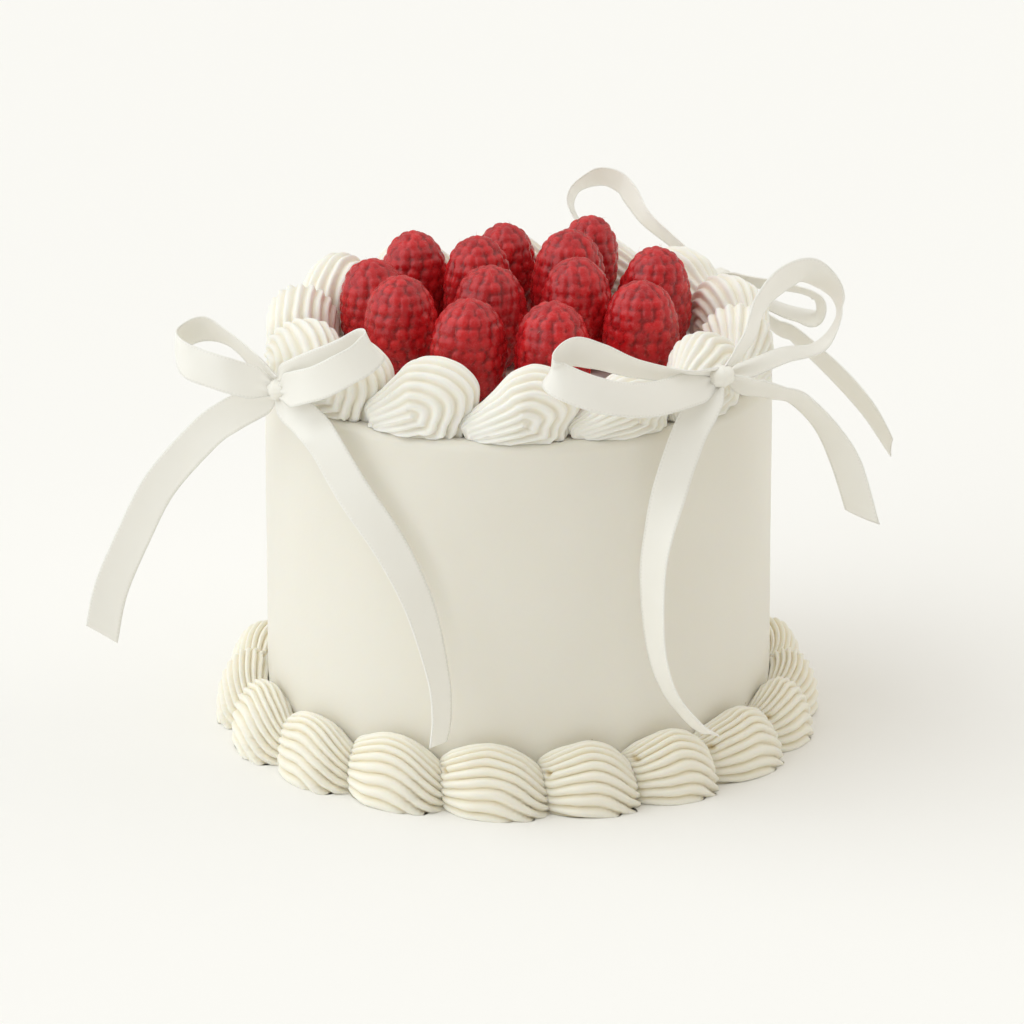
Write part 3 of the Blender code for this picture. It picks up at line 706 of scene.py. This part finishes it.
def berry_body(numbers, index):
    """Grid of a berry: the farthest out of its drupelets at each place."""
    uneven = random.Random(500 + index)
    foot_x, foot_y, foot_height, tip_x, tip_y, tip_height, width = numbers
    foot = Vector((foot_x, foot_y, CAKE_HEIGHT + foot_height))
    axis = Vector((tip_x, tip_y, CAKE_HEIGHT + tip_height)) - foot
    length = axis.length
    width -= BERRY_INSET
    seeds = berry_drupelets(length, width, uneven)
    profile = smooth_curve(BERRY_PROFILE, 300)
    curve = np.stack([profile[:, 1] * width / 2, profile[:, 0] * (length - 0.4)], axis=-1)
    steps = np.concatenate([[0.0], np.cumsum(np.linalg.norm(np.diff(curve, axis=0), axis=1))])
    travel = np.linspace(0, steps[-1], BERRY_UP)
    radius = np.maximum(np.interp(travel, steps, curve[:, 0]), 0.0)[:, None]
    height = np.interp(travel, steps, curve[:, 1])[:, None]
    angles = np.linspace(0, TAU, BERRY_AROUND, endpoint=False)[None]
    base = np.stack([radius * np.cos(angles), radius * np.sin(angles), height + 0 * angles], axis=-1)
    normal = grid_normals(base, True)
    centre = np.array([0.0, 0.0, length * 0.45])
    facing = np.sum(normal * (base - centre), axis=-1).mean()
    normal = normal * (1.0 if facing > 0 else -1.0)
    normal[0] = (0.0, 0.0, -1.0)
    normal[-1] = (0.0, 0.0, 1.0)
    apart = np.linalg.norm(base[:, :, None, :] - seeds[None, None, :, :3], axis=-1)
    size = seeds[:, 3]
    dome = np.maximum(1.0 - (apart / size) ** 2.6, 0.0) * seeds[:, 4]
    rise = dome.max(axis=-1)
    owner = dome.argmax(axis=-1)
    proud = DRUPELET_PROUD * (np.maximum(rise, 0.33) - 0.45)
    body = base + normal * np.maximum(proud, -0.5)[..., None]
    turned = np.array(Vector((0, 0, 1)).rotation_difference(axis).to_matrix())
    world = body @ turned.T + np.array(foot)
    world[..., 2] = np.maximum(world[..., 2], CAKE_HEIGHT + CLEARANCE)
    out = normal @ turned.T
    return world, np.clip((rise - 0.36) / 0.3, 0, 1), seeds[owner, 5], out, uneven


def add_hairs(shape, world, out, uneven):
    """Fine bent hairs that stand between the drupelets."""
    for _ in range(HAIRS):
        row = uneven.randrange(BERRY_UP // 4, BERRY_UP - 1)
        column = uneven.randrange(BERRY_AROUND)
        root = world[row, column]
        outward = out[row, column]
        lean = unit(outward * 0.8 + np.array([uneven.uniform(-1, 1) for _ in range(3)]) * 0.7)
        side = unit(np.cross(outward, lean + 0.01))
        bend = unit(np.cross(side, outward))
        length = uneven.uniform(0.8, 1.6)
        points = []
        for share, thick in HAIR_RADII:
            spine = root + lean * length * share + bend * share ** 2 * 0.9
            for turn in (0.0, TAU / 3, 2 * TAU / 3):
                points.append(spine + (side * math.cos(turn) + bend * math.sin(turn)) * thick)
        shape.add(points, grid_faces(3, 3, True) + [[6, 7, 8]], 1, rise=[1.0] * 9, tint=[0.5] * 9)


def make_raspberries(materials):
    shape = Shape()
    for index, numbers in enumerate(RASPBERRIES):
        world, rise, tint, out, uneven = berry_body(numbers, index)
        shape.add_grid(world, True, rise=rise, tint=tint)
        add_hairs(shape, world, out, uneven)
    nodes = [f"raspberry_{index + 1:02d}" for index in range(len(RASPBERRIES))]
    return make_piece("raspberries", shape, materials, nodes)


# Ribbon


def ribbon_strip(route, sections, gather_start, gather_end, slant=0.0):
    """Closed thin strip: curled across, and pleated where it is drawn into the knot.

    Returns its grid, how far each point is across and along the ribbon, and its length.
    """
    middles = smooth_curve([point for point, across in route], sections)
    widths = [unit(np.array(across, dtype=float)) for point, across in route]
    widths = unit(smooth_curve(widths, sections))
    lengths = np.concatenate([[0.0], np.cumsum(np.linalg.norm(np.diff(middles, axis=0), axis=1))])
    ahead = unit(np.gradient(middles, axis=0))
    face = unit(np.cross(ahead, widths))
    widths = unit(np.cross(face, ahead))
    to_knot = np.ones(sections)
    if gather_start:
        to_knot = np.minimum(to_knot, lengths / GATHER_LENGTH)
    if gather_end:
        to_knot = np.minimum(to_knot, (lengths[-1] - lengths) / GATHER_LENGTH)
    ease = (to_knot * to_knot * (3 - 2 * to_knot))[:, None]
    spread = KNOT_GATHER + (1 - KNOT_GATHER) * ease
    share = np.linspace(-1, 1, ACROSS + 1)[None]
    half = RIBBON_WIDTH / 2 * spread * share
    pleat = (1 - ease) * 0.5 * np.cos(share * math.pi * 2.5)
    lift = RIBBON_CURL * (share ** 2 - 0.4) * ease + pleat
    middle = middles[:, None] + widths[:, None] * half[..., None] + face[:, None] * lift[..., None]
    if slant:
        end = np.clip((lengths - lengths[-1] + 12.0) / 12.0, 0, 1)[:, None]
        middle = middle + ahead[:, None] * (slant * share * end)[..., None]
    thick = RIBBON_THICKNESS / 2
    upper = middle + face[:, None] * thick
    lower = (middle - face[:, None] * thick)[:, ::-1]
    grid = np.concatenate([upper, lower], axis=1)
    across = np.concatenate([share, share[:, ::-1]], axis=1) * np.ones((sections, 1))
    along = lengths[:, None] * np.ones_like(across)
    return grid, across, along, lengths[-1]


def make_ribbon(name, route, ends, material, nodes, slant=0.0):
    """One length of ribbon. ends says whether its start and its end are drawn into a knot."""
    grid, across, along, length = ribbon_strip(route, STRIP_SECTIONS, *ends, slant)
    rows, columns = grid.shape[:2]
    shape = Shape()
    faces = grid_faces(rows, columns, True)
    faces.append(list(range(columns))[::-1])
    last = (rows - 1) * columns
    faces.append([last + column for column in range(columns)])
    shape.add(grid, faces, 0, across=across, along=along)
    piece = make_piece(name, shape, [material], nodes)
    return piece


def make_knot(name, centre, wrap_axis, up_axis, material, nodes):
    """Ribbon wrapped once round the bow's middle, drawn tight so that it creases."""
    axis = unit(np.array(wrap_axis, dtype=float))
    upward = np.array(up_axis, dtype=float)
    upward = unit(upward - axis * np.dot(upward, axis))
    front = np.cross(axis, upward)
    around = 64
    profile = []
    for turn in np.linspace(-math.pi / 2, math.pi / 2, 29):
        profile.append((KNOT_HALF * math.sin(turn), KNOT_RADIUS * abs(math.cos(turn)) ** 0.6))
    profile = np.array(profile)
    angle = np.linspace(0, TAU, around, endpoint=False)[None]
    run = profile[:, :1]
    squash = 1.0 - 0.10 * np.cos(2 * angle)
    crease = 0.28 * np.abs(np.sin(run * 1.15 + 0.5 * np.sin(angle + 0.6))) ** 0.7
    radius = np.maximum(profile[:, 1:] * squash - crease * (profile[:, 1:] / KNOT_RADIUS), 0.0)
    twist = run + 0.5 * np.sin(angle + 1.0) * (profile[:, 1:] / 4.0)
    grid = (
        np.array(centre)[None, None] + axis * twist[..., None]
        + upward * (radius * np.cos(angle))[..., None] + front * (radius * np.sin(angle))[..., None])
    shape = Shape()
    across = np.clip(run / KNOT_HALF, -1, 1) * np.ones_like(angle)
    along = angle * 4.0 * np.ones_like(run)
    shape.add_grid(grid, True, across=across, along=along)
    return make_piece(name, shape, [material], nodes)


def make_bow(label, knot, wrap_axis, loops, tails, slants, material):
    knot_piece = make_knot(f"{label}_knot", knot, wrap_axis, (0, 0, 1), material, [label])
    for letter, route in zip("ab", loops):
        make_ribbon(
            f"{label}_loop_{letter}", route, (True, True), material, [label])
    for letter, route, slant in zip("ab", tails, slants):
        route = ((knot, route[0][1]),) + route
        make_ribbon(
            f"{label}_strand_{letter}", route, (True, False), material,
            [f"{label}_tail_{letter}"], slant)


# Stage


def make_floor():
    n = Nodes("floor_paper")
    n.finish(
        Base_Color=n.mix(n.noise(n.place(), 3, 2), (0.925, 0.915, 0.895, 1), (0.93, 0.92, 0.90, 1)),
        Roughness=0.9, Specular_IOR_Level=0.1)
    mesh = bpy.data.meshes.new("floor")
    mesh.from_pydata([(-6, -6, 0), (6, -6, 0), (6, 6, 0), (-6, 6, 0)], [], [(0, 1, 2, 3)])
    mesh.materials.append(n.material)
    floor = bpy.data.objects.new("floor", mesh)
    bpy.context.scene.collection.objects.link(floor)


def add_sun(name, azimuth, elevation, spread, strength, colour):
    """A broad, far light that comes from an azimuth and an elevation in degrees."""
    data = bpy.data.lights.new(name, "SUN")
    data.energy = strength
    data.angle = math.radians(spread)
    data.color = colour
    light = bpy.data.objects.new(name, data)
    light.rotation_euler = (math.radians(90 - elevation), 0, math.radians(azimuth))
    bpy.context.scene.collection.objects.link(light)


def make_light():
    world = bpy.data.worlds.new("studio")
    world.use_nodes = True
    background = world.node_tree.nodes["Background"]
    background.inputs["Color"].default_value = (1.0, 0.972, 0.885, 1)
    background.inputs["Strength"].default_value = 0.465
    bpy.context.scene.world = world
    add_sun("key", -78, 30, 85, 1.63, (0.905, 0.96, 1.0))
    add_sun("side", 98, 22, 60, 0.42, (1.0, 0.975, 0.92))
    add_sun("top", 180, 80, 100, 0.92, (0.99, 0.99, 1.0))


def make_camera():
    data = bpy.data.cameras.new("camera")
    data.sensor_width = 36.0
    data.lens = CAMERA_LENS
    data.clip_end = 20
    camera = bpy.data.objects.new("camera", data)
    camera.location = CAMERA_PLACE
    camera.rotation_euler = (math.radians(90 - CAMERA_PITCH), 0, 0)
    bpy.context.scene.collection.objects.link(camera)
    bpy.context.scene.camera = camera


def main():
    make_camera()
    make_light()
    make_floor()
    bpy.context.scene.view_settings.view_transform = "Standard"

    make_iced_cake(icing_material())
    piping = piping_material()
    make_top_shells(piping)
    make_bottom_shells(piping)
    make_raspberries([raspberry_material(), hair_material()])
    satin = satin_material()
    make_bow(
        "bow_left", LEFT_KNOT, (0.9, -0.4, 0.2), (LEFT_LOOP_A, LEFT_LOOP_B),
        (LEFT_TAIL_A, LEFT_TAIL_B), (2.0, -2.0), satin)
    make_bow(
        "bow_right", RIGHT_KNOT, (0.9, 0.4, 0.1), (RIGHT_LOOP_A, RIGHT_LOOP_B),
        (RIGHT_TAIL_A, RIGHT_TAIL_B), (0.0, -2.5), satin)
    make_bow(
        "bow_back", BACK_KNOT, (0.8, -0.6, 0.1), (BACK_LOOP_A, BACK_LOOP_B),
        (BACK_TAIL, BACK_TAIL_HIDDEN), (2.5, 0.0), satin)


main()
